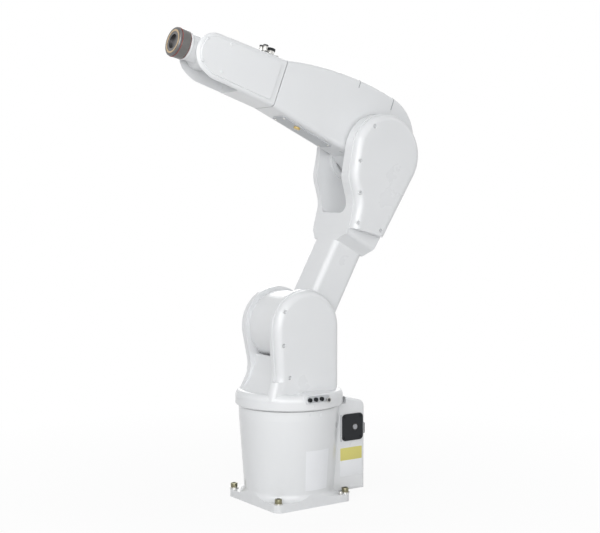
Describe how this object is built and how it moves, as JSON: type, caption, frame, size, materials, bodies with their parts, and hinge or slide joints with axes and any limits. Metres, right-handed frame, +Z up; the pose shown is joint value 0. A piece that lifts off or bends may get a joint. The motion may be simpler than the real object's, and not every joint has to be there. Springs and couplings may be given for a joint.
{
  "type": "industrial robot arm",
  "caption": "Compact articulated bench robot arm on a square bolted foot, with forked shoulder, bowed lower arm, tapered forearm, roll-tilt wrist and a round tool flange.",
  "frame": {"origin": "centre of the foot's bolt pattern on the floor plane", "axes": "+Z up along the yaw axis, +X the way the arm faces at rest, +Y towards the side with the brake button"},
  "size_m": [0.6437, 0.256, 1.0532],
  "materials": {
    "white_paint": "gloss",
    "dark_rubber": "matte",
    "dark_plastic": "matte",
    "black_plastic": "gloss",
    "grey_plastic": "matte",
    "plated_metal": "satin",
    "panel_grey": "satin",
    "bright_steel": "satin",
    "dark_steel": "satin"
  },
  "bodies": {
    "base": {"base_casting": "white_paint", "yaw_seal": "dark_rubber", "rear_panel": "panel_grey", "power_plug": "dark_plastic", "signal_plug": "plated_metal", "rear_socket": "dark_plastic", "air_inlets": "plated_metal", "brake_panel": "black_plastic", "brake_button": "grey_plastic", "panel_trim": "panel_grey"},
    "swing": {"swing_housing": "white_paint", "shoulder_cover_near": "white_paint", "shoulder_cover_far": "white_paint", "shoulder_ring_near": "white_paint", "shoulder_ring_far": "white_paint", "port_panel": "panel_grey", "collar_ports": "black_plastic", "port_fitting": "dark_plastic"},
    "lower": {"lower_arm": "white_paint", "elbow_cover_near": "white_paint", "elbow_cover_far": "white_paint", "elbow_ring_near": "white_paint", "elbow_ring_far": "white_paint"},
    "upper": {"forearm_housing": "white_paint", "forearm_rear_cover": "white_paint", "forearm_under_plate": "panel_grey", "top_plug": "grey_plastic", "roll_seal": "dark_rubber"},
    "wrist_roll": {"wrist_fork": "white_paint", "wrist_cover_near": "white_paint", "wrist_cover_far": "white_paint", "connector_plate": "panel_grey", "air_fittings": "plated_metal", "tool_socket": "dark_plastic"},
    "wrist_tilt": {"tilt_housing": "white_paint", "tilt_collar": "white_paint"},
    "tool": {"flange_band": "bright_steel", "flange_disc": "dark_steel"}
  },
  "joints": [
    {"name": "yaw", "type": "hinge", "parent": "base", "child": "swing", "pos_m": [0, 0, 0.221], "axis": [0, 0, 1], "range_deg": [-170, 170]},
    {"name": "shoulder", "type": "hinge", "parent": "swing", "child": "lower", "pos_m": [0, 0, 0.399], "axis": [0, 1, 0], "range_deg": [-71, 159]},
    {"name": "elbow", "type": "hinge", "parent": "lower", "child": "upper", "pos_m": [-0.21719, 0, 0.79083], "axis": [0, -1, 0], "range_deg": [-62, 208]},
    {"name": "forearm_roll", "type": "hinge", "parent": "upper", "child": "wrist_roll", "pos_m": [0.05156, 0, 0.93898], "axis": [0.9336, 0, 0.3584], "range_deg": [-270, 270]},
    {"name": "wrist_tilt", "type": "hinge", "parent": "wrist_roll", "child": "wrist_tilt", "pos_m": [0.21867, 0, 1.00313], "axis": [0, -1, 0], "range_deg": [-123, 137]},
    {"name": "tool_turn", "type": "hinge", "parent": "wrist_tilt", "child": "tool", "pos_m": [0.27107, 0, 1.0162], "axis": [0.9703, 0, 0.2419], "range_deg": [-400, 400]}
  ]
}
